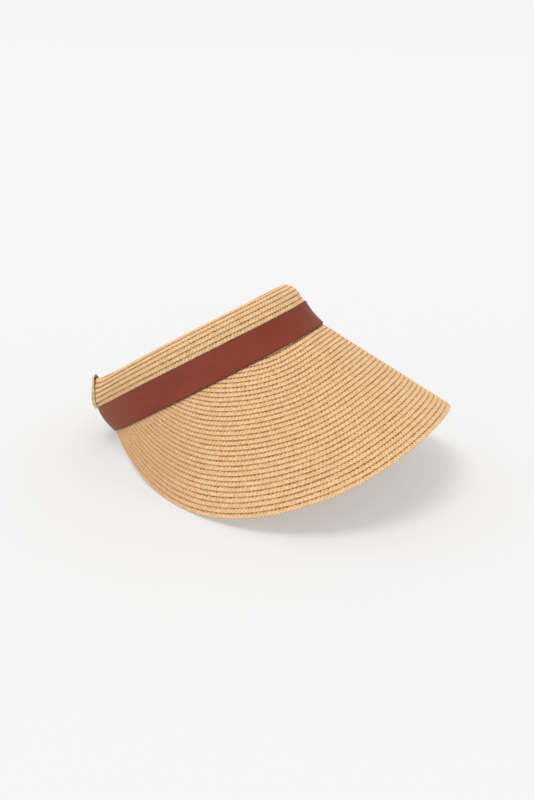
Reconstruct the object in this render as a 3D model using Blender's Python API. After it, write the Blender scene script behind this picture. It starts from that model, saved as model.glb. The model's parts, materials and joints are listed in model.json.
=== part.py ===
"""Roll-up straw sun visor, modelled as it rests: on both side edges of the brim, nose up.

The visor is worked out in its own frame first (crown axis along +Z, front towards -Y, metres),
with angles counted round the crown from the front, positive towards +X. The finished pieces are
then pitched nose up by REST_PITCH and moved together, so that the floor is z = 0 and the middle
of the whole visor's outline, seen from above, is the origin.
"""

import math

import bpy
from mathutils import Matrix, Vector

# Crown, measured along the line where the crown and the brim meet.
CROWN_HALF_WIDTH = 0.0776
CROWN_HALF_LENGTH = 0.1016
SEAM_RISE = 0.0010
CROWN_ROWS = 12
ROWS_UNDER_BAND = 6

# Straw braid.
BRAID_PITCH = 0.0038
BRAID_THICKNESS = 0.0011
GAP = 0.0003

# Brim: its rows follow the outer edge and run out under the leather band.
BRIM_ROWS = 31
BRIM_FRONT_WIDTH = BRIM_ROWS * BRAID_PITCH
BRIM_END_ANGLE = 145.0
BRIM_FULLNESS = (1.08, -1.66)
BRIM_TAPER = 1.1
SHOULDER_WIDTH = 0.0031
SHOULDER_ANGLE = 37.0
SHOULDER_SPREAD = 21.0
FLARE_FRONT = 30.8
FLARE_SIDE = 24.3
FLARE_END = 17.7
SEAM_CLEARANCE = 0.0008
BLUNT_END = 0.0004

# Lean of the crown wall towards the head, in degrees, against the distance up the wall.
LEAN_HEIGHTS = (0.0, 0.008, 0.016, 0.0225, 0.030, 0.038, 0.0456)
LEAN_FRONT = (24.0, 17.0, 8.0, 0.0, 4.0, 36.0, 75.0)
LEAN_BACK = (-24.0, -17.0, -4.0, 10.0, 26.0, 42.0, 57.0)

# Closure: the upper rows run on past the back as a tab that laps over the other end.
TAB_LIFT = 0.0033
TAB_LIFT_START = 118.0
TAB_LIFT_END = 150.0
TAB_END = 218.0
UNDERLAP_END = -205.0
BACK_SLIT = 0.2
TAPE_THICKNESS = 0.0006
TAPE_LOW = 0.0247
TAPE_HIGH = 0.0447
HOOK_TAPE = (162.0, 213.0)
LOOP_TAPE = (-202.0, -146.0)

# Leather band outside and ribbon sweatband inside.
LEATHER_THICKNESS = 0.0012
LEATHER_WIDTH = 0.0222
LEATHER_ENDS = (-179.8, 179.8)
SWEATBAND_THICKNESS = 0.0010
SWEATBAND_LOW = 0.0015
SWEATBAND_HIGH = 0.0260
SWEATBAND_ENDS = (-179.8, 179.8)

# Pose at rest and fineness of the facets.
REST_PITCH = 32.3
STATION_STEP = 7.5

STRAW = (0.72, 0.52, 0.31)
LEATHER = (0.24, 0.055, 0.035)
RIBBON = (0.55, 0.40, 0.25)
TAPE = (0.12, 0.11, 0.08)


def clear_scene():
    for obj in list(bpy.data.objects):
        bpy.data.objects.remove(obj, do_unlink=True)


def blend(a, b, share):
    return a + (b - a) * share


def table(value, keys, values):
    """The value between two keys, on the straight line that joins them."""
    last = len(keys) - 1
    if value <= keys[0]:
        return values[0]
    for index in range(last):
        if value <= keys[index + 1]:
            share = (value - keys[index]) / (keys[index + 1] - keys[index])
            return blend(values[index], values[index + 1], share)
    return values[last]


def rim(angle):
    """Point on the line where the crown and the brim meet."""
    turn = math.radians(angle)
    across = math.sin(turn)
    along = math.cos(turn)
    return Vector((CROWN_HALF_WIDTH * across, -CROWN_HALF_LENGTH * along, SEAM_RISE * across**2))


def outward(angle):
    """Level direction that points straight out from the crown."""
    turn = math.radians(angle)
    out = Vector((math.sin(turn) / CROWN_HALF_WIDTH, -math.cos(turn) / CROWN_HALF_LENGTH, 0.0))
    return out.normalized()


def wall_lean(angle, height):
    back_share = (1.0 - math.cos(math.radians(angle))) / 2.0
    front = table(height, LEAN_HEIGHTS, LEAN_FRONT)
    back = table(height, LEAN_HEIGHTS, LEAN_BACK)
    return math.radians(blend(front, back, back_share))


def wall_point(angle, height, lift):
    """Point on the crown wall: height runs up the wall, lift straight out of it."""
    steps = 24
    inward = 0.0
    up = 0.0
    for step in range(steps):
        lean = wall_lean(angle, height * (step + 0.5) / steps)
        inward += math.sin(lean) * height / steps
        up += math.cos(lean) * height / steps
    lean = wall_lean(angle, height)
    out = outward(angle)
    level = lift * math.cos(lean) - inward
    return rim(angle) + out * level + Vector((0.0, 0.0, up + lift * math.sin(lean)))


def tab_lift(angle):
    """How far the lapping end stands off the wall beneath it."""
    share = (angle - TAB_LIFT_START) / (TAB_LIFT_END - TAB_LIFT_START)
    share = min(max(share, 0.0), 1.0)
    return TAB_LIFT * share * share * (3.0 - 2.0 * share)


def flare(angle):
    """Angle between the brim and the crown axis: a quadratic through front, side and end."""
    share = (angle / BRIM_END_ANGLE) ** 2
    side = (90.0 / BRIM_END_ANGLE) ** 2
    front_part = (share - side) * (share - 1.0) / side
    side_part = share * (share - 1.0) / (side * (side - 1.0))
    end_part = share * (share - side) / (1.0 - side)
    return math.radians(FLARE_FRONT * front_part + FLARE_SIDE * side_part + FLARE_END * end_part)


def brim_slope(angle):
    """Direction in which the brim leaves the crown."""
    lean = flare(angle)
    return outward(angle) * math.sin(lean) - Vector((0.0, 0.0, math.cos(lean)))


def brim_width(angle):
    """Width along the slope: a taper to nothing at the ends, with a fuller shoulder either side."""
    share = min((angle / BRIM_END_ANGLE) ** 2, 1.0)
    full = 1.0 + BRIM_FULLNESS[0] * share + BRIM_FULLNESS[1] * share**2
    shoulder = math.exp(-(((abs(angle) - SHOULDER_ANGLE) / SHOULDER_SPREAD) ** 2))
    taper = BRIM_FRONT_WIDTH * (1.0 - share) ** BRIM_TAPER * full
    return taper + SHOULDER_WIDTH * shoulder * (1.0 - share)


def brim_edge(angle):
    return rim(angle) + brim_slope(angle) * brim_width(angle)


def edge_squareness(angle):
    """How squarely the brim's slope line crosses its outer edge, from 0 to 1."""
    inner = math.copysign(min(abs(angle), BRIM_END_ANGLE - 1.0), angle)
    along = (brim_edge(inner + 0.5) - brim_edge(inner - 0.5)).normalized()
    return math.sqrt(1.0 - along.dot(brim_slope(inner)) ** 2)


def brim_normal(angle):
    along = (rim(angle + 0.5) - rim(angle - 0.5)).normalized()
    normal = brim_slope(angle).cross(along).normalized()
    return normal if normal.dot(outward(angle)) > 0.0 else -normal


def station_angles(first, last):
    """Both ends, and every whole step between them."""
    angles = [first]
    step = math.ceil((first + 0.01) / STATION_STEP)
    while step * STATION_STEP < last - 0.01:
        angles.append(step * STATION_STEP)
        step += 1
    angles.append(last)
    return angles


def new_material(name, colour):
    material = bpy.data.materials.new(name)
    material.use_nodes = True
    shader = material.node_tree.nodes["Principled BSDF"]
    shader.inputs["Base Color"].default_value = (*colour, 1.0)
    shader.inputs["Roughness"].default_value = 0.7
    return material


def add_piece(name, points, faces, colour):
    mesh = bpy.data.meshes.new(name)
    mesh.from_pydata(points, [], faces)
    mesh.materials.append(new_material(name + "_material", colour))
    obj = bpy.data.objects.new(name, mesh)
    bpy.context.scene.collection.objects.link(obj)
    return obj


def swept(loops):
    """Faces of a solid whose sections, all with the same number of points, follow one another."""
    points = [point for loop in loops for point in loop]
    count = len(loops[0])
    faces = [tuple(range(count))]
    for index in range(len(loops) - 1):
        here = index * count
        there = here + count
        for side in range(count):
            after = (side + 1) % count
            faces.append((here + side, there + side, there + after, here + after))
    faces.append(tuple(reversed(range(len(points) - count, len(points)))))
    return points, faces


def wall_strip(name, low, high, lifts, ends, bands, colour):
    """A strip that follows the crown wall between two heights, bands facets high."""
    heights = [blend(low, high, band / bands) for band in range(bands + 1)]
    loops = []
    for angle in station_angles(*ends):
        inner, outer = lifts(angle)
        section = [wall_point(angle, height, outer) for height in heights]
        section += [wall_point(angle, height, inner) for height in reversed(heights)]
        loops.append(section)
    points, faces = swept(loops)
    return add_piece(name, points, faces, colour)


def brim_station(angle, row):
    """Where a row's two edges and the seam stand at one angle, with the distance from the crown."""
    start = rim(angle)
    slope = brim_slope(angle)
    square = edge_squareness(angle)
    outer_gap = GAP / 2.0 if row else 0.0
    outer = brim_width(angle) - (row * BRAID_PITCH + outer_gap) / square
    inner = brim_width(angle) - ((row + 1) * BRAID_PITCH - GAP / 2.0) / square
    return {
        "outer": start + slope * outer,
        "inner": start + slope * inner,
        "seam": start + slope * SEAM_CLEARANCE,
        "normal": brim_normal(angle),
        "outer_run": outer,
        "inner_run": inner,
    }


def between(first, second, share):
    return {key: blend(first[key], second[key], share) for key in first}


def crossing(first, second, key, level):
    """Share of the way from one station to the next at which a run passes the level."""
    start = first[key] - level
    end = second[key] - level
    return start / (start - end) if start * end < 0.0 else None


def brim_row(row):
    angles = station_angles(-BRIM_END_ANGLE, BRIM_END_ANGLE)
    stations = [brim_station(angle, row) for angle in angles]
    shortest = SEAM_CLEARANCE + BLUNT_END
    kept = []
    for index, station in enumerate(stations):
        if station["outer_run"] > shortest:
            kept.append(station)
        if index + 1 == len(stations):
            continue
        after = stations[index + 1]
        shares = [
            crossing(station, after, "outer_run", shortest),
            crossing(station, after, "inner_run", SEAM_CLEARANCE),
        ]
        for share in sorted(share for share in shares if share is not None):
            extra = between(station, after, share)
            if extra["outer_run"] > shortest - 1e-7:
                kept.append(extra)
    loops = []
    for station in kept:
        inner = station["inner"] if station["inner_run"] > SEAM_CLEARANCE else station["seam"]
        half = station["normal"] * (BRAID_THICKNESS / 2.0)
        outer = station["outer"]
        loops.append([inner - half, outer - half, outer + half, inner + half])
    points, faces = swept(loops)
    return add_piece(f"brim_braid_{row + 1:02d}", points, faces, STRAW)


def put_at_rest(pieces):
    """Pitches the pieces nose up and moves them so that they stand on the floor over the origin."""
    pitch = Matrix.Rotation(-math.radians(REST_PITCH), 4, "X")
    points = [pitch @ vertex.co for piece in pieces for vertex in piece.data.vertices]
    middle = [(min(values) + max(values)) / 2.0 for values in zip(*points)]
    floor = min(point.z for point in points)
    pose = Matrix.Translation((-middle[0], -middle[1], -floor)) @ pitch
    for piece in pieces:
        piece.matrix_world = pose


def main():
    clear_scene()
    half = BRAID_THICKNESS / 2.0
    inside = half + GAP

    def wall_lifts(angle):
        return -half, half

    def tab_lifts(angle):
        return tab_lift(angle) - half, tab_lift(angle) + half

    pieces = [brim_row(row) for row in range(BRIM_ROWS)]

    for row in range(CROWN_ROWS):
        low = row * BRAID_PITCH + GAP / 2.0
        high = (row + 1) * BRAID_PITCH - GAP / 2.0
        under_band = row < ROWS_UNDER_BAND
        ends = (BACK_SLIT - 180.0, 180.0 - BACK_SLIT) if under_band else (UNDERLAP_END, TAB_END)
        lifts = wall_lifts if under_band else tab_lifts
        name = f"crown_braid_{row + 1:02d}"
        pieces.append(wall_strip(name, low, high, lifts, ends, 1, STRAW))

    def leather_lifts(angle):
        return inside, inside + LEATHER_THICKNESS

    def sweatband_lifts(angle):
        return -inside - SWEATBAND_THICKNESS, -inside

    def loop_lifts(angle):
        return inside, inside + TAPE_THICKNESS

    def hook_lifts(angle):
        return TAB_LIFT - inside - TAPE_THICKNESS, TAB_LIFT - inside

    others = (
        ("leather_band", GAP, GAP + LEATHER_WIDTH, leather_lifts, LEATHER_ENDS, 4, LEATHER),
        ("sweatband", SWEATBAND_LOW, SWEATBAND_HIGH, sweatband_lifts, SWEATBAND_ENDS, 4, RIBBON),
        ("loop_tape", TAPE_LOW, TAPE_HIGH, loop_lifts, LOOP_TAPE, 5, TAPE),
        ("hook_tape", TAPE_LOW, TAPE_HIGH, hook_lifts, HOOK_TAPE, 5, TAPE),
    )
    for other in others:
        pieces.append(wall_strip(*other))
    put_at_rest(pieces)


main()
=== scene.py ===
"""Looks for the roll-up straw sun visor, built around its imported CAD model.

Every straw row, the leather band, the ribbon sweatband and the two closure tapes are replaced by
a detailed piece that follows the same surface as its CAD solid. Stitches are added on the
sweatband and on the end of the closing tab. The surface is worked out in the visor's own frame
(crown axis along +Z, front towards -Y, metres), with angles counted in degrees round the crown
from the front, positive towards +X, and is then turned to the pose at rest.
"""

import json
import math

import bpy
import numpy as np
from mathutils import Matrix, Vector


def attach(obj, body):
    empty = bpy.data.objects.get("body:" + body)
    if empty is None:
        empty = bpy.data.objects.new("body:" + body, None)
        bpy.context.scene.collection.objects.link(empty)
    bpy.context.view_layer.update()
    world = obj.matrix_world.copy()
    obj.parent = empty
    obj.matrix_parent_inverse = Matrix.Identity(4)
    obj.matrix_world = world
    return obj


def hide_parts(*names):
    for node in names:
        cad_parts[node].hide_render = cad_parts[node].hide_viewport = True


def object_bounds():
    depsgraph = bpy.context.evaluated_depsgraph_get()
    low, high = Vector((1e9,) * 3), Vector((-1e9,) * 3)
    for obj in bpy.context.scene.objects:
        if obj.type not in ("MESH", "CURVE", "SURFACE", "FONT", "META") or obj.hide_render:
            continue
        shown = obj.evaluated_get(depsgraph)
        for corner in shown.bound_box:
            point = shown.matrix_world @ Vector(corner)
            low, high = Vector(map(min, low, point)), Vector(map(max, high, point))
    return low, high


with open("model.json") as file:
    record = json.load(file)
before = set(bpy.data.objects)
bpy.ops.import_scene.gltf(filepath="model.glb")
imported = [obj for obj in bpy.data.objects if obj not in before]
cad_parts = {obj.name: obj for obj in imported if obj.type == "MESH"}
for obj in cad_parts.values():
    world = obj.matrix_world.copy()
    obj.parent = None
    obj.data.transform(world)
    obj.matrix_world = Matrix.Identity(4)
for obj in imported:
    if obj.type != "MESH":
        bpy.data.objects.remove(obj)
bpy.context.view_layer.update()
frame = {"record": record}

# ---------------------------------------------------------------- the visor's surface
CROWN_HALF_WIDTH = 0.0776
CROWN_HALF_LENGTH = 0.1016
SEAM_RISE = 0.0010
CROWN_ROWS = 12
ROWS_UNDER_BAND = 6
PITCH = 0.0038
BRIM_ROWS = 31
BRIM_FRONT_WIDTH = BRIM_ROWS * PITCH
BRIM_END_ANGLE = 145.0
BRIM_FULLNESS = (1.08, -1.66)
BRIM_TAPER = 1.1
SHOULDER_WIDTH, SHOULDER_ANGLE, SHOULDER_SPREAD = 0.0031, 37.0, 21.0
FLARE_FRONT, FLARE_SIDE, FLARE_END = 30.8, 24.3, 17.7
LEAN_HEIGHTS = (0.0, 0.008, 0.016, 0.0225, 0.030, 0.038, 0.0456)  # the last is the wall's height
LEAN_FRONT = (24.0, 17.0, 8.0, 0.0, 4.0, 36.0, 75.0)
LEAN_BACK = (-24.0, -17.0, -4.0, 10.0, 26.0, 42.0, 57.0)
WALL_HEIGHT = 0.0456
TAB_LIFT = 0.0033
TAB_LIFT_START, TAB_LIFT_END = 118.0, 150.0
TAB_END = 216.8
UNDERLAP_END = -205.0
BACK_SLIT = 0.03
CLOSED_ENDS = (BACK_SLIT - 180.0, 180.0 - BACK_SLIT)
TAPE_LOW, TAPE_HIGH = 0.0247, 0.0447


def smooth(x):
    x = np.clip(x, 0.0, 1.0)
    return x * x * (3.0 - 2.0 * x)


def unit(v):
    return v / np.linalg.norm(v, axis=-1, keepdims=True)


def rim(angle):
    turn = np.radians(angle)
    across, along = np.sin(turn), np.cos(turn)
    return np.stack([CROWN_HALF_WIDTH * across, -CROWN_HALF_LENGTH * along, SEAM_RISE * across**2], -1)


def outward(angle):
    turn = np.radians(angle)
    return unit(
        np.stack([np.sin(turn) / CROWN_HALF_WIDTH, -np.cos(turn) / CROWN_HALF_LENGTH, 0.0 * turn], -1)
    )


def wall_lean(angle, height):
    back = (1.0 - np.cos(np.radians(angle))) / 2.0
    front_lean = np.interp(height, LEAN_HEIGHTS, LEAN_FRONT)
    back_lean = np.interp(height, LEAN_HEIGHTS, LEAN_BACK)
    return np.radians(front_lean + (back_lean - front_lean) * back)


def wall_point(angle, height, lift):
    """Points on the crown wall: height runs up the wall, lift straight out of it."""
    angle, height, lift = np.broadcast_arrays(angle, height, lift)
    steps = 24
    inward, up = np.zeros(angle.shape), np.zeros(angle.shape)
    for step in range(steps):
        lean = wall_lean(angle, height * (step + 0.5) / steps)
        inward += np.sin(lean) * height / steps
        up += np.cos(lean) * height / steps
    lean = wall_lean(angle, height)
    level = lift * np.cos(lean) - inward
    points = rim(angle) + outward(angle) * level[..., None]
    points[..., 2] += up + lift * np.sin(lean)
    return points


def tab_lift(angle):
    return TAB_LIFT * smooth((angle - TAB_LIFT_START) / (TAB_LIFT_END - TAB_LIFT_START))


def upper_part(height):
    """0 up to the middle of the wall above the leather, growing to 1 at the wall's top edge."""
    return np.clip((height - 0.030) / (WALL_HEIGHT - 0.030), 0.0, 1.0) ** 2


def tab_end_shape(angle, height):
    """Extra lift at the lapping end: pressed down low on the wall, standing proud at the top edge."""
    upper = upper_part(height)
    proud = 0.0005 * smooth((angle - 203.0) / 12.0) * upper
    return proud - 0.0024 * smooth((angle - 211.5) / 4.0) * (1.0 - 0.35 * upper)


def back_swell(angle, height):
    """Extra lift where the tapes are stacked, above the leather and most of all at the top edge."""
    away = np.mod(angle, 360.0) - 215.0
    low = 0.0018 * np.exp(-((away / 13.0) ** 2)) * smooth((height - 0.0215) / 0.006)
    return low + 0.0036 * np.exp(-(((away - 1.5) / 7.5) ** 2)) * upper_part(height)


def flare(angle):
    share = (angle / BRIM_END_ANGLE) ** 2
    side = (90.0 / BRIM_END_ANGLE) ** 2
    front_part = (share - side) * (share - 1.0) / side
    side_part = share * (share - 1.0) / (side * (side - 1.0))
    end_part = share * (share - side) / (1.0 - side)
    return np.radians(FLARE_FRONT * front_part + FLARE_SIDE * side_part + FLARE_END * end_part)


def brim_slope(angle):
    lean = flare(angle)
    slope = outward(angle) * np.sin(lean)[..., None]
    slope[..., 2] -= np.cos(lean)
    return slope


def brim_width(angle):
    share = np.minimum((angle / BRIM_END_ANGLE) ** 2, 1.0)
    full = 1.0 + BRIM_FULLNESS[0] * share + BRIM_FULLNESS[1] * share**2
    shoulder = np.exp(-(((np.abs(angle) - SHOULDER_ANGLE) / SHOULDER_SPREAD) ** 2))
    taper = BRIM_FRONT_WIDTH * (1.0 - share) ** BRIM_TAPER * full
    return taper + SHOULDER_WIDTH * shoulder * (1.0 - share)


def brim_edge(angle):
    return rim(angle) + brim_slope(angle) * brim_width(angle)[..., None]


def edge_slant(angle):
    """Cosine of the angle between the brim's slope line and its outer edge."""
    inner = np.clip(angle, 1.0 - BRIM_END_ANGLE, BRIM_END_ANGLE - 1.0)
    along = unit(brim_edge(inner + 0.5) - brim_edge(inner - 0.5))
    return (along * brim_slope(inner)).sum(-1)


def brim_normal(angle):
    along = unit(rim(angle + 0.5) - rim(angle - 0.5))
    normal = unit(np.cross(brim_slope(angle), along))
    side = np.sign((normal * outward(angle)).sum(-1))
    return normal * side[..., None]


def pose_at_rest():
    """The matrix from the visor's frame to the row frame, from the record's head_band mount."""
    mount = frame["record"]["mounts"][0]
    axis = Vector(mount["axis"]).normalized()
    side = Vector((1.0, 0.0, 0.0))
    back = axis.cross(side).normalized()
    turn = Matrix((side, back, axis)).transposed()
    return Matrix.Translation(Vector(mount["pos_m"])) @ turn.to_4x4()


POSE = pose_at_rest()


# ---------------------------------------------------------------- mesh building
def at_rest(points):
    """Points of the visor's frame as one list in the row frame."""
    pose = np.array(POSE)
    return points.reshape(-1, 3) @ pose[:3, :3].T + pose[:3, 3]


def link_object(name, mesh, material):
    mesh.materials.append(material)
    obj = bpy.data.objects.new(name, mesh)
    bpy.context.scene.collection.objects.link(obj)
    return obj


def add_grid(name, points, material, attributes):
    """A closed tube: points[i, j] is point j of section i, and the sections' points run round."""
    sections, around = points.shape[:2]
    flat = at_rest(points)
    i = np.arange(sections - 1)[:, None] * around
    j = np.arange(around)[None, :]
    nxt = (j + 1) % around
    quads = np.stack([i + j, i + around + j, i + around + nxt, i + nxt], -1).reshape(-1, 4)
    half = around // 2
    k = np.arange(half - 1)
    cap = np.stack([k, k + 1, around - 2 - k, around - 1 - k], -1)
    last = (sections - 1) * around
    faces = np.concatenate([quads, cap, cap[:, ::-1] + last])
    centre = flat.reshape(sections, around, 3).mean(1)
    a = flat[quads[:around, 0]] - centre[0]
    b = flat[quads[:around, 1]] - flat[quads[:around, 0]]
    c = flat[quads[:around, 3]] - flat[quads[:around, 0]]
    if (np.cross(b, c) * a).sum() < 0:
        faces = faces[:, ::-1]
    mesh = bpy.data.meshes.new(name)
    mesh.vertices.add(len(flat))
    mesh.vertices.foreach_set("co", flat.astype(np.float32).ravel())
    mesh.loops.add(faces.size)
    mesh.loops.foreach_set("vertex_index", faces.astype(np.int32).ravel())
    mesh.polygons.add(len(faces))
    mesh.polygons.foreach_set("loop_start", np.arange(0, faces.size, 4, dtype=np.int32))
    mesh.polygons.foreach_set("use_smooth", np.ones(len(faces), bool))
    for key, values in attributes.items():
        if values.ndim == 3:
            layer = mesh.attributes.new(key, "FLOAT_VECTOR", "POINT")
            layer.data.foreach_set("vector", values.astype(np.float32).ravel())
        else:
            layer = mesh.attributes.new(key, "FLOAT", "POINT")
            layer.data.foreach_set("value", values.astype(np.float32).ravel())
    mesh.update(calc_edges=True)
    mesh.validate()
    return link_object(name, mesh, material)


# ---------------------------------------------------------------- material helpers
class Graph:
    """Short calls for building one material's nodes."""

    def __init__(self, name):
        self.material = bpy.data.materials.new(name)
        self.material.use_nodes = True
        self.tree = self.material.node_tree
        self.shader = self.tree.nodes["Principled BSDF"]

    def node(self, kind, **settings):
        node = self.tree.nodes.new(kind)
        for key, value in settings.items():
            setattr(node, key, value)
        return node

    def feed(self, socket, value):
        if isinstance(value, bpy.types.NodeSocket):
            self.tree.links.new(value, socket)
        else:
            socket.default_value = value

    def math(self, operation, *values):
        node = self.node("ShaderNodeMath", operation=operation)
        for socket, value in zip(node.inputs, values):
            self.feed(socket, value)
        return node.outputs[0]

    def attribute(self, name, output="Vector"):
        return self.node("ShaderNodeAttribute", attribute_name=name).outputs[output]

    def split(self, vector):
        node = self.node("ShaderNodeSeparateXYZ")
        self.feed(node.inputs[0], vector)
        return node.outputs[0], node.outputs[1], node.outputs[2]

    def join(self, x, y, z):
        node = self.node("ShaderNodeCombineXYZ")
        for socket, value in zip(node.inputs, (x, y, z)):
            self.feed(socket, value)
        return node.outputs[0]

    def remap(self, value, low, high, to_low=0.0, to_high=1.0):
        node = self.node("ShaderNodeMapRange", interpolation_type="SMOOTHSTEP")
        for socket, number in zip(node.inputs, (value, low, high, to_low, to_high)):
            self.feed(socket, number)
        return node.outputs[0]

    def noise(self, vector, scale, detail=3.0, roughness=0.5):
        node = self.node("ShaderNodeTexNoise")
        self.feed(node.inputs["Vector"], vector)
        node.inputs["Scale"].default_value = scale
        node.inputs["Detail"].default_value = detail
        node.inputs["Roughness"].default_value = roughness
        return node.outputs["Fac"]

    def random(self, vector):
        node = self.node("ShaderNodeTexWhiteNoise", noise_dimensions="3D")
        self.feed(node.inputs["Vector"], vector)
        return node.outputs["Value"]

    def mix(self, share, first, second):
        node = self.node("ShaderNodeMix", data_type="RGBA")
        self.feed(node.inputs["Factor"], share)
        for socket, value in zip((node.inputs[6], node.inputs[7]), (first, second)):
            self.feed(socket, (*value, 1.0) if isinstance(value, tuple) and len(value) == 3 else value)
        return node.outputs[2]

    def bump(self, height, distance, strength):
        node = self.node("ShaderNodeBump")
        node.inputs["Strength"].default_value = strength
        node.inputs["Distance"].default_value = distance
        self.feed(node.inputs["Height"], height)
        return node.outputs[0]

    def position(self):
        return self.node("ShaderNodeTexCoord").outputs["Object"]

    def finish(self, colour, roughness, normal, **constants):
        self.feed(self.shader.inputs["Base Color"], colour)
        self.feed(self.shader.inputs["Roughness"], roughness)
        self.feed(self.shader.inputs["Normal"], normal)
        for key, value in constants.items():
            self.shader.inputs[key.replace("_", " ")].default_value = value
        return self.material


# ---------------------------------------------------------------- straw braid
CELL = 0.0030
LAP = 0.00095
STEP = CELL / 5.0
BRAID_ACROSS = 11
BRAID_THICK = 0.00055
RAISED_EDGE = 0.00050
TUCKED_EDGE = -0.00015
CROWNING = 0.00010
RELIEF = 0.00034
SCALLOP = 0.00047


def straw_material():
    g = Graph("straw_braid")
    along_row, across_row, tone = g.split(g.attribute("braid"))
    lap_shade = g.attribute("lap_shade", "Fac")
    gap_place = g.join(g.math("MULTIPLY", along_row, 1.5), g.math("MULTIPLY", tone, 9.0), 0.5)
    gaps = g.noise(gap_place, 1.0, 3.0, 0.7)
    patch_place = g.join(g.math("MULTIPLY", along_row, 0.12), g.math("MULTIPLY", tone, 3.0), 7.5)
    patch = g.noise(patch_place, 1.0, 2.0, 0.5)
    a = g.math("ADD", along_row, across_row)
    b = g.math("SUBTRACT", along_row, across_row)
    cell_a, cell_b = g.math("FLOOR", a), g.math("FLOOR", b)
    part_a, part_b = g.math("FRACT", a), g.math("FRACT", b)
    odd = g.math("MODULO", g.math("ADD", cell_a, cell_b), 2.0)
    across = g.math("ADD", part_b, g.math("MULTIPLY", odd, g.math("SUBTRACT", part_a, part_b)))
    along = g.math("ADD", part_a, g.math("MULTIPLY", odd, g.math("SUBTRACT", part_b, part_a)))
    side = g.math("SINE", g.math("MULTIPLY", across, math.pi))
    end = g.math("SINE", g.math("MULTIPLY", along, math.pi))
    body = g.math("MULTIPLY", g.remap(side, 0.0, 0.75), g.remap(end, -0.35, 0.8))
    strand = g.random(g.join(cell_a, cell_b, tone))
    strand_tone = g.math("ADD", strand, tone)
    fibre_place = g.join(g.math("MULTIPLY", along, 1.3), g.math("MULTIPLY", across, 7.0), strand_tone)
    fibre = g.noise(fibre_place, 1.6, 3.0, 0.6)
    cloud = g.noise(g.position(), 38.0, 3.0, 0.55)
    light, deep, lap_shade_colour = (0.935, 0.635, 0.365), (0.545, 0.290, 0.108), (0.20, 0.074, 0.009)
    # Both back corners of the brim are painted darker, as painted shade where that side turns from the
    # light, and their painted lap shade lines are softer.
    across_object, along_object, above_floor = g.split(g.position())
    corner = g.node("ShaderNodeVectorMath", operation="DISTANCE")
    g.feed(corner.inputs[0], g.join(g.math("ABSOLUTE", across_object), along_object, above_floor))
    corner.inputs[1].default_value = (0.082, 0.062, 0.024)
    away_from_corner = g.remap(corner.outputs["Value"], 0.010, 0.100)
    corner_shade = g.remap(away_from_corner, 0.0, 1.0, 0.56, 0.0)
    lines = g.remap(away_from_corner, 0.0, 1.0, 0.62, 1.0)
    lines = g.math("MULTIPLY", lines, g.remap(patch, 0.3, 0.6, 0.75, 1.0))
    lines = g.math("MULTIPLY", g.remap(gaps, 0.36, 0.58, 0.38, 1.0), lines)
    # Painted light on the plait: the tops of the strands are painted light as a highlight, and the dips
    # where they pass under each other deep, as painted shade.
    colour = g.mix(g.remap(body, 0.0, 0.75, 0.08, 1.0), deep, light)
    colour = g.mix(g.remap(strand, 0.1, 0.9, 0.0, 0.48), colour, deep)
    colour = g.mix(g.remap(fibre, 0.35, 0.70, 0.0, 0.42), colour, (0.60, 0.34, 0.155))
    colour = g.mix(g.remap(cloud, 0.35, 0.7, 0.0, 0.16), colour, (0.66, 0.36, 0.175))
    # Painted shade on both back corners of the brim.
    colour = g.mix(corner_shade, colour, (0.56, 0.308, 0.146))
    # Painted shadow: the strip of each row next to where the next row laps over it is painted dark,
    # standing in for the shade under that edge.
    colour = g.mix(g.math("MULTIPLY", lap_shade, lines), colour, lap_shade_colour)
    height = g.math("ADD", body, g.math("MULTIPLY", fibre, 0.35))
    rough = g.remap(fibre, 0.2, 0.8, 0.58, 0.78)
    return g.finish(colour, rough, g.bump(height, 0.00022, 0.85), Specular_IOR_Level=0.35)


def braid_relief(along, across):
    """Height from 0 to 1 of plaited strands, at row coordinates counted in cells."""
    a, b = along + across, along - across
    part_a, part_b = a - np.floor(a), b - np.floor(b)
    odd = (np.floor(a) + np.floor(b)) % 2 > 0.5
    side = np.where(odd, part_a, part_b)
    run = np.where(odd, part_b, part_a)
    return np.sin(np.pi * side) ** 0.7 * (0.35 + 0.65 * np.sin(np.pi * run))


def row_waves(rng, along, amplitude, lengths=(0.019, 0.043, 0.11)):
    """A slow, seeded unevenness along a row."""
    total = np.zeros_like(along)
    for length in lengths:
        phase = rng.uniform(0.0, 2.0 * np.pi)
        total = total + np.sin(2.0 * np.pi * along / (length * rng.uniform(0.85, 1.2)) + phase)
    return amplitude * total / len(lengths)


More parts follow.
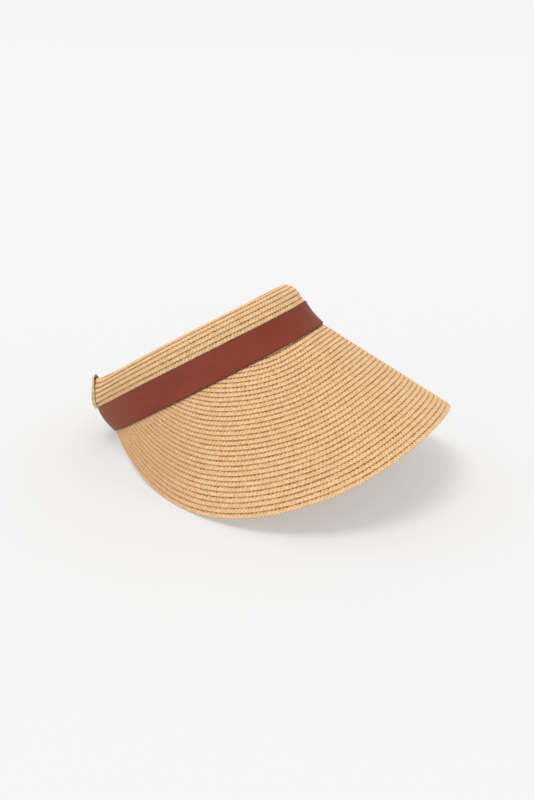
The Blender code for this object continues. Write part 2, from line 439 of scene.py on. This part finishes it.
def braid_section(along, width, tone, relief=RELIEF, last=False):
    """Section points of a braid row: across in metres, lift in metres, and their attributes.

    along[i, j] is the distance along the row, width[i] the row's width at that section, and the
    points run from the raised edge to the tucked edge on top, and back underneath.
    """
    share = np.linspace(0.0, 1.0, BRAID_ACROSS)
    across = share[None, :] * width[:, None]
    full = PITCH + LAP
    slope = (TUCKED_EDGE - RAISED_EDGE) / full
    edge = np.minimum(across, width[:, None] - across)
    round_off = np.sqrt(1.0 - (1.0 - np.clip(edge / 0.0005, 0.0, 1.0)) ** 2)
    half = BRAID_THICK / 2.0 * (0.42 + 0.58 * round_off)
    middle = RAISED_EDGE - BRAID_THICK / 2.0 + slope * across
    middle = middle + CROWNING * (1.0 - (2.0 * across / full - 1.0) ** 2)
    if last:
        middle = middle - slope * across * 0.5
    cells_along, cells_across = along / CELL + 40.0, across / CELL
    bumps = (braid_relief(cells_along, cells_across) - 0.5) * relief
    turns = 2.0 * np.pi * cells_along
    swell = 0.65 + 0.35 * np.sin(turns / 3.7 + tone) * np.sin(turns / 9.1)
    scallop = SCALLOP * swell * np.cos(turns) * np.clip(1.0 - across / 0.0012, 0.0, 1.0)
    top, under = middle + half + bumps, middle - half - bumps
    # Painted shade along the laps: on top, the strip next to where the next row laps over; underneath, the
    # strip next to the part that lies hidden.
    lap_shade_top = smooth((across - 0.0025 - 0.0004 * np.sin(turns)) / 0.00085)
    lap_shade_under = 1.0 - smooth((across - 0.0009) / 0.0008)
    if last:
        lap_shade_top = lap_shade_top * 0.0
    coordinates = np.stack([cells_along, cells_across, np.full_like(across, tone)], -1)
    return {
        "across": np.concatenate([across - scallop, (across - scallop)[:, ::-1]], 1),
        "lift": np.concatenate([top, under[:, ::-1]], 1),
        "braid": np.concatenate([coordinates, coordinates[:, ::-1]], 1),
        "lap_shade": np.concatenate([lap_shade_top, lap_shade_under[:, ::-1]], 1),
    }


def lengths_along(positions):
    return np.concatenate([[0.0], np.cumsum(np.linalg.norm(np.diff(positions, axis=0), axis=1))])


def even_steps(positions, keys, step):
    """Keys at even steps of the length of a line through positions, and those lengths."""
    lengths = lengths_along(positions)
    count = max(int(round(lengths[-1] / step)), 4)
    wanted = np.linspace(0.0, lengths[-1], count + 1)
    return np.interp(wanted, lengths, keys), wanted


def add_row(node, points, section, material):
    attributes = {key: section[key] for key in ("braid", "lap_shade")}
    return add_grid("row_" + node, points, material, attributes), node


def row_outer_edge(row, angle):
    """How far down the slope a brim row's outer edge lies, with the edge's slant and its sine."""
    slant = edge_slant(angle)
    square = np.sqrt(1.0 - slant**2)
    return brim_width(angle) - row * PITCH / square, slant, square


def brim_row(row, material):
    rng = np.random.default_rng(100 + row)
    clear = 0.0003
    dense = np.linspace(-BRIM_END_ANGLE, BRIM_END_ANGLE, 6001)
    dense = dense[row_outer_edge(row, dense)[0] > clear + 0.0005]
    line = rim(dense) + brim_slope(dense) * row_outer_edge(row, dense)[0][:, None]
    angle, length = even_steps(line, dense, STEP)
    run, slant, square = row_outer_edge(row, angle)
    width = np.minimum((run - clear) * square, PITCH + LAP)
    share = np.linspace(0.0, 1.0, BRAID_ACROSS)
    along = length[:, None] - share[None, :] * (width * slant / square)[:, None]
    section = braid_section(along, width, row * 0.37 + 1.0)
    lift = section["lift"] + row_waves(rng, length, 0.00005)[:, None]
    across = section["across"] + row_waves(rng, length, 0.00010, (0.031, 0.07))[:, None]
    distance = run[:, None] - across / square[:, None]
    points = (
        rim(angle)[:, None]
        + brim_slope(angle)[:, None] * distance[..., None]
        + brim_normal(angle)[:, None] * lift[..., None]
    )
    return add_row(f"brim_braid_{row + 1:02d}", points, section, material)


def crown_row(row, material):
    rng = np.random.default_rng(300 + row)
    hidden = 0 < row < ROWS_UNDER_BAND - 1
    under_band = row < ROWS_UNDER_BAND
    ends = CLOSED_ENDS if under_band else (UNDERLAP_END, TAB_END)
    dense = np.linspace(*ends, 8001)
    angle, length = even_steps(rim(dense), dense, STEP * (3.0 if hidden else 1.0))
    top_row = row == CROWN_ROWS - 1
    width = np.full(angle.shape, PITCH if top_row else PITCH + LAP)
    along = np.repeat(length[:, None], BRAID_ACROSS, 1)
    section = braid_section(along, width, row * 0.37 + 20.0, 0.0 if hidden else RELIEF, top_row)
    lift = section["lift"] + row_waves(rng, length, 0.00005)[:, None]
    across = section["across"] + row_waves(rng, length, 0.00008, (0.031, 0.07))[:, None]
    height = row * PITCH + across
    if row == 0:
        # Its lower edge tucks in behind the brim, so that no light shows along the seam.
        tuck = smooth((BRIM_END_ANGLE + 1.0 - np.abs(angle)) / 8.0)[:, None]
        low = np.clip(1.0 - height / PITCH, 0.0, 1.0)
        height = height - 0.0022 * tuck * low
        lift = lift - 0.0009 * tuck * low
    if not under_band:
        lift = lift + tab_lift(angle)[:, None]
        lift = lift + tab_end_shape(angle[:, None], height) + back_swell(angle[:, None], height)
    points = wall_point(angle[:, None], height, lift)
    return add_row(f"crown_braid_{row + 1:02d}", points, section, material)


# ---------------------------------------------------------------- leather, ribbon and tapes
def rounded_section(low, high, inner, outer, radius, flat_points):
    """(height, lift) round a strip's section with rounded long edges, as an even number of points."""
    turn = np.linspace(0.0, np.pi / 2.0, 4)
    bottom, ceiling, face = low + radius, high - radius, outer - radius
    top = [(bottom - radius * math.cos(t), face + radius * math.sin(t)) for t in turn]
    flat = np.linspace(bottom, ceiling, flat_points + 2)[1:-1]
    top += [(h, outer) for h in flat]
    top += [(ceiling + radius * math.sin(t), face + radius * math.cos(t)) for t in turn]
    middle = (inner + outer) / 2.0
    under = [(h, 2.0 * middle - l) for h, l in reversed(top)]
    return np.array(top + under)


def add_strip(name, section, ends, step, material, shape):
    """A strip along the crown wall. shape(angle, length, height, lift) moves its points."""
    dense = np.linspace(*ends, 6001)
    angle, length = even_steps(rim(dense), dense, step)
    height = np.repeat(section[None, :, 0], len(angle), 0)
    lift = np.repeat(section[None, :, 1], len(angle), 0)
    outer = (section[:, 1] > section[:, 1].mean()).astype(float)
    low, high = section[:, 0].min(), section[:, 0].max()
    lengths = np.repeat(length[:, None], len(section), 1)
    strip = np.stack([lengths, height - low, np.repeat(outer[None], len(angle), 0)], -1)
    edge = np.minimum(height - low, high - height)
    end = np.minimum(length, length[-1] - length)
    edge = np.minimum(edge, end[:, None])
    height, lift = shape(angle[:, None], length[:, None], height, lift)
    points = wall_point(angle[:, None], height, lift)
    return add_grid(name, points, material, {"strip": strip, "edge": edge})


def add_stitches(name, rows, ends, lift, material, length=0.0023, gap=0.0011, radius=0.00019):
    """Running stitches along the crown wall as one mesh of short, bowed threads."""
    dense = np.linspace(*ends, 6001)
    positions = lengths_along(rim(dense))
    count = int(positions[-1] / (length + gap))
    share = np.linspace(0.0, 1.0, 7)
    turn = np.linspace(0.0, 2.0 * np.pi, 8, endpoint=False)
    starts = (np.arange(count) + 0.5) * positions[-1] / count - length / 2.0
    angle = np.interp(starts[:, None] + share[None, :] * length, positions, dense)[:, :, None]
    bow = np.sin(np.pi * share)[None, :, None]
    thick = radius * (0.35 + 0.65 * bow**0.6)
    tubes = []
    for row, height in enumerate(rows):
        slant = 0.00012 * np.cos(np.pi * share)[None, :, None] * (1.0 if row % 2 else -1.0)
        heights = height + slant + thick * np.cos(turn)[None, None, :]
        lifts = lift[0] + (lift[1] - lift[0]) * bow + thick * np.sin(turn)[None, None, :]
        tubes.append(wall_point(angle, heights, lifts))
    return add_tubes(name, np.concatenate(tubes), material)


def add_overcast(name, material, spacing=0.0012, radius=0.00036):
    """Overcast stitches in a thick thread, from the outer face of the lapping tab round its cut end."""
    dense = np.linspace(TAB_END - 4.0, TAB_END + 2.0, 601)
    positions = lengths_along(rim(dense))
    end = np.interp(TAB_END, dense, positions)
    path_along = np.array([-0.0030, -0.0027, -0.0021, -0.0013, -0.0005, 0.0001, 0.0004, 0.0004, 0.0001])
    path_out = np.array([0.0007, 0.0011, 0.0013, 0.0014, 0.0013, 0.0010, 0.0005, 0.0000, -0.0003])
    run, rise = np.gradient(path_along), np.gradient(path_out)
    size = np.hypot(run, rise)
    turn = np.linspace(0.0, 2.0 * np.pi, 8, endpoint=False)
    share = np.linspace(0.0, 1.0, len(path_along))[None, :, None]
    rows = (0.0238 + spacing * np.arange(int(0.0212 / spacing) + 1))[:, None, None]
    rows = rows + 0.00012 * np.sin(12.9898 * np.arange(len(rows)))[:, None, None]
    thick = radius * (0.55 + 0.45 * np.sin(np.pi * share) ** 0.5)
    height = rows + 0.0005 * share + thick * np.cos(turn)
    along = path_along[None, :, None] - thick * np.sin(turn) * (rise / size)[None, :, None]
    out = path_out[None, :, None] + thick * np.sin(turn) * (run / size)[None, :, None]
    angle = np.interp(end + along, positions, dense)
    lift = out + tab_lift(angle) + tab_end_shape(angle, height) + back_swell(angle, height)
    return add_tubes(name, wall_point(angle, height, lift), material)


def add_tubes(name, tubes, material):
    """One mesh of closed tubes: tubes[n, i, j] is point j of section i of tube n."""
    number, sections, around = tubes.shape[:3]
    flat = at_rest(tubes)
    i = np.arange(sections - 1)[:, None] * around
    j = np.arange(around)[None, :]
    nxt = (j + 1) % around
    quads = np.stack([i + j, i + nxt, i + around + nxt, i + around + j], -1).reshape(-1, 4)
    base = np.arange(number) * sections * around
    faces = [tuple(face) for start in base for face in quads + start]
    for start in base:
        last = start + (sections - 1) * around
        faces.append(tuple(start + np.arange(around)[::-1]))
        faces.append(tuple(last + np.arange(around)))
    mesh = bpy.data.meshes.new(name)
    mesh.from_pydata(flat.tolist(), [], [tuple(int(v) for v in face) for face in faces])
    mesh.polygons.foreach_set("use_smooth", np.ones(len(faces), bool))
    mesh.update()
    return link_object(name, mesh, material)


def leather_material():
    g = Graph("leather")
    along, height, outer = g.split(g.attribute("strip"))
    edge = g.attribute("edge", "Fac")
    place = g.position()
    cells = g.node("ShaderNodeTexVoronoi", feature="DISTANCE_TO_EDGE")
    g.feed(cells.inputs["Vector"], place)
    cells.inputs["Scale"].default_value = 2300.0
    grain = g.remap(cells.outputs["Distance"], 0.0, 0.12)
    cloud = g.noise(place, 55.0, 4.0, 0.55)
    fine = g.noise(place, 900.0, 3.0, 0.6)
    colour = g.mix(g.remap(cloud, 0.3, 0.7), (0.196, 0.0360, 0.0190), (0.236, 0.0450, 0.0250))
    along_object = g.split(place)[1]
    # Painted light: the front of the band is painted darker as shade, and the back lighter and warmer as a
    # painted sheen.
    colour = g.mix(g.remap(along_object, -0.035, 0.030, 0.75, 0.0), colour, (0.191, 0.029, 0.009))
    colour = g.mix(g.remap(along_object, 0.050, 0.100, 0.0, 0.75), colour, (0.256, 0.057, 0.021))
    colour = g.mix(g.remap(grain, 0.0, 1.0, 0.25, 0.0), colour, (0.145, 0.027, 0.015))
    colour = g.mix(g.remap(edge, 0.0002, 0.0009, 0.75, 0.0), colour, (0.085, 0.022, 0.014))
    height_map = g.math("ADD", grain, g.math("MULTIPLY", fine, 0.7))
    rough = g.remap(cloud, 0.3, 0.7, 0.47, 0.60)
    return g.finish(colour, rough, g.bump(height_map, 0.00006, 0.5), Specular_IOR_Level=0.20)


def ribbon_material():
    g = Graph("ribbon")
    along, height, outer = g.split(g.attribute("strip"))
    edge = g.attribute("edge", "Fac")
    rib = g.math("SINE", g.math("MULTIPLY", along, 2.0 * math.pi / 0.0011))
    weft = g.math("SINE", g.math("MULTIPLY", height, 2.0 * math.pi / 0.00042))
    fine = g.noise(g.position(), 1500.0, 2.0, 0.6)
    cloud = g.noise(g.position(), 45.0, 3.0, 0.5)
    colour = g.mix(g.remap(rib, -1.0, 0.6), (0.40, 0.275, 0.16), (0.58, 0.43, 0.27))
    colour = g.mix(g.remap(cloud, 0.3, 0.7, 0.0, 0.25), colour, (0.46, 0.31, 0.18))
    colour = g.mix(g.remap(fine, 0.4, 0.7, 0.0, 0.2), colour, (0.66, 0.52, 0.35))
    colour = g.mix(g.remap(edge, 0.0003, 0.0009, 0.45, 0.0), colour, (0.38, 0.25, 0.14))
    weave = g.math("ADD", g.math("MULTIPLY", weft, 0.16), g.math("MULTIPLY", fine, 0.4))
    height_map = g.math("ADD", g.math("MULTIPLY", rib, 0.5), weave)
    rough = g.remap(fine, 0.3, 0.7, 0.75, 0.92)
    normal = g.bump(height_map, 0.00012, 0.8)
    return g.finish(colour, rough, normal, Specular_IOR_Level=0.25, Sheen_Weight=0.15)


def tape_material():
    g = Graph("closure_tape")
    place = g.position()
    edge = g.attribute("edge", "Fac")
    pile = g.noise(place, 1400.0, 4.0, 0.7)
    tuft = g.node("ShaderNodeTexVoronoi", feature="F1")
    g.feed(tuft.inputs["Vector"], place)
    tuft.inputs["Scale"].default_value = 1100.0
    tip = g.remap(tuft.outputs["Distance"], 0.1, 0.6, 1.0, 0.0)
    cloud = g.noise(place, 90.0, 3.0, 0.5)
    colour = g.mix(g.remap(pile, 0.3, 0.7), (0.045, 0.042, 0.022), (0.135, 0.125, 0.075))
    colour = g.mix(g.math("MULTIPLY", tip, 0.35), colour, (0.20, 0.185, 0.12))
    colour = g.mix(g.remap(cloud, 0.35, 0.7, 0.0, 0.25), colour, (0.10, 0.08, 0.045))
    colour = g.mix(g.remap(edge, 0.0004, 0.0013, 0.6, 0.0), colour, (0.05, 0.045, 0.025))
    height_map = g.math("ADD", tip, pile)
    rough = g.remap(pile, 0.3, 0.7, 0.8, 0.95)
    normal = g.bump(height_map, 0.0004, 0.9)
    return g.finish(colour, rough, normal, Specular_IOR_Level=0.2, Sheen_Weight=0.2)


def thread_material():
    g = Graph("sewing_thread")
    place = g.position()
    twist = g.noise(place, 2600.0, 2.0, 0.5)
    colour = g.mix(g.remap(twist, 0.35, 0.65), (0.40, 0.27, 0.15), (0.62, 0.46, 0.29))
    rough = g.remap(twist, 0.3, 0.7, 0.55, 0.75)
    return g.finish(colour, rough, g.bump(twist, 0.00006, 0.7), Specular_IOR_Level=0.35)


def edging_material():
    g = Graph("edging_thread")
    place = g.position()
    twist = g.noise(place, 2200.0, 2.0, 0.5)
    colour = g.mix(g.remap(twist, 0.35, 0.65), (0.62, 0.53, 0.33), (0.82, 0.73, 0.52))
    rough = g.remap(twist, 0.3, 0.7, 0.6, 0.8)
    return g.finish(colour, rough, g.bump(twist, 0.00006, 0.7), Specular_IOR_Level=0.3)


# ---------------------------------------------------------------- building everything
def settle(obj, node, slot_name):
    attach(obj, "root")
    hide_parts(node)
    return obj


def leather_shape(angle, length, height, lift):
    """The long edges follow the lumps of the braid under them, and the face ripples a little."""
    edge = np.clip(np.abs(height - 0.0111) / 0.0113, 0.0, 1.0) ** 6 * np.sign(height - 0.0111)
    lumps = np.sin(2 * np.pi * length / 0.0031) + 0.7 * np.sin(2 * np.pi * length / 0.0073 + 1.0)
    ripple = np.sin(2 * np.pi * length / 0.036 + height * 90.0)
    ripple = ripple + np.sin(2 * np.pi * length / 0.083 + 2.0)
    return height + 0.00013 * edge * lumps, lift + 0.00009 * ripple


def ribbon_shape(angle, length, height, lift):
    wave = 0.00012 * np.sin(2 * np.pi * length / 0.047 + height * 60.0)
    ribs = 0.00005 * np.sin(2 * np.pi * length / 0.0022) * np.sign(lift + 0.001225)
    return height, lift + wave + ribs


def hook_shape(angle, length, height, lift):
    """The end of the hook tape is cut slanting, and its tip stands up past the top edge of the wall."""
    top = TAPE_HIGH + 0.0027 * smooth((angle - 205.0) / 8.0) - 0.0014 * smooth((angle - 215.0) / 6.5)
    tip = 0.0024 * np.sqrt(np.clip(1.0 - ((angle - 214.0) / 7.6) ** 2, 0.02, 1.0))
    low = TAPE_LOW + (top - tip - TAPE_LOW) * smooth((angle - 208.5) / 6.0)
    height = low + (height - TAPE_LOW) / (TAPE_HIGH - TAPE_LOW) * (top - low)
    return height, lift + tab_end_shape(angle, height) + back_swell(angle, height) + 0.0002


def loop_shape(angle, length, height, lift):
    return height, lift + back_swell(angle, height)


straw = straw_material()
for row in range(BRIM_ROWS):
    settle(*brim_row(row, straw), "straw_braid")
for row in range(CROWN_ROWS):
    settle(*crown_row(row, straw), "straw_braid")

leather_section = rounded_section(-0.0002, 0.0224, 0.00072, 0.00188, 0.0004, 8)
strap = add_strip(
    "leather_strap", leather_section, CLOSED_ENDS, 0.0007, leather_material(), leather_shape
)
settle(strap, "leather_band", "leather")

ribbon_section = rounded_section(0.0015, 0.0260, -0.00150, -0.00095, 0.0002, 14)
sweatband = add_strip(
    "ribbon_sweatband", ribbon_section, CLOSED_ENDS, 0.00055, ribbon_material(), ribbon_shape
)
settle(sweatband, "sweatband", "ribbon")
stitches = add_stitches(
    "sweatband_stitches", (0.0031, 0.0244), (-179.0, 179.0), (-0.00130, -0.00172), thread_material()
)
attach(stitches, "root")

tape = tape_material()
for name, node, ends, inner, outer, shape, cut, area in (
    ("loop_fastener", "loop_tape", (-202.0, -146.0), 0.00060, 0.00164, loop_shape, (0.0200, 0.079), None),
    ("hook_fastener", "hook_tape", (162.0, 221.4), 0.00168, 0.00272, hook_shape, (0.0212, 0.0865), 0.00146),
):
    tape_section = rounded_section(TAPE_LOW, TAPE_HIGH, inner, outer, 0.00025, 12)
    fastener = add_strip(name, tape_section, ends, 0.0008, tape, shape)
    settle(fastener, node, "closure_tape")

overcast = add_overcast("tab_end_stitches", edging_material())
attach(overcast, "root")

# ---------------------------------------------------------------- stage, light and camera
def matte(name, colour, glow):
    g = Graph(name)
    g.shader.inputs["Emission Color"].default_value = (1.0, 1.0, 1.0, 1.0)
    g.shader.inputs["Emission Strength"].default_value = glow
    cloud = g.noise(g.position(), 3.0, 2.0, 0.5)
    shade = g.mix(g.remap(cloud, 0.3, 0.7), colour, tuple(c * 0.995 for c in colour))
    return g.finish(shade, 0.9, g.bump(cloud, 0.0001, 0.05), Specular_IOR_Level=0.0)


FLOOR_ALBEDO = 0.450
FLOOR_GLOW = 0.332
FLOOR_RADIUS = 60.0
floor_mesh = bpy.data.meshes.new("floor")
turns = [2.0 * math.pi * k / 96 for k in range(96)]
lowest = min(0.0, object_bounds()[0].z)
corners = [(FLOOR_RADIUS * math.cos(t), FLOOR_RADIUS * math.sin(t), lowest) for t in turns]
floor_mesh.from_pydata(corners, [], [tuple(range(len(corners)))])
floor = link_object("floor", floor_mesh, matte("floor_paper", (FLOOR_ALBEDO,) * 3, FLOOR_GLOW))

world = bpy.data.worlds.new("studio")
bpy.context.scene.world = world
world.use_nodes = True
world.node_tree.nodes["Background"].inputs["Color"].default_value = (1.0, 1.0, 1.0, 1.0)
world.node_tree.nodes["Background"].inputs["Strength"].default_value = 0.915

key = bpy.data.lights.new("key", "SUN")
key.energy = 1.36
key.angle = math.radians(25.0)
key.color = (1.0, 0.995, 0.985)
key_object = bpy.data.objects.new("key", key)
key_object.rotation_mode = "QUATERNION"
KEY_FROM = Vector((-0.38, 0.14, 1.0))
key_object.rotation_quaternion = (-KEY_FROM).to_track_quat("-Z", "Y")
bpy.context.scene.collection.objects.link(key_object)

camera_data = bpy.data.cameras.new("camera")
camera_data.lens = 40.67
camera_data.sensor_width = 36.0
camera_data.clip_start, camera_data.clip_end = 0.05, 200.0
camera = bpy.data.objects.new("camera", camera_data)
camera.location = (-0.61204, -0.29797, 0.31992)
CAMERA_AIM = Vector((0.01352, 0.00194, 0.04498))
CAMERA_ROLL = 1.268
look = (CAMERA_AIM - camera.location).to_track_quat("-Z", "Y").to_matrix().to_4x4()
roll = Matrix.Rotation(math.radians(CAMERA_ROLL), 4, "Z")
camera.matrix_world = Matrix.Translation(camera.location) @ look @ roll
bpy.context.scene.collection.objects.link(camera)
bpy.context.scene.camera = camera
bpy.context.scene.view_settings.view_transform = "Standard"
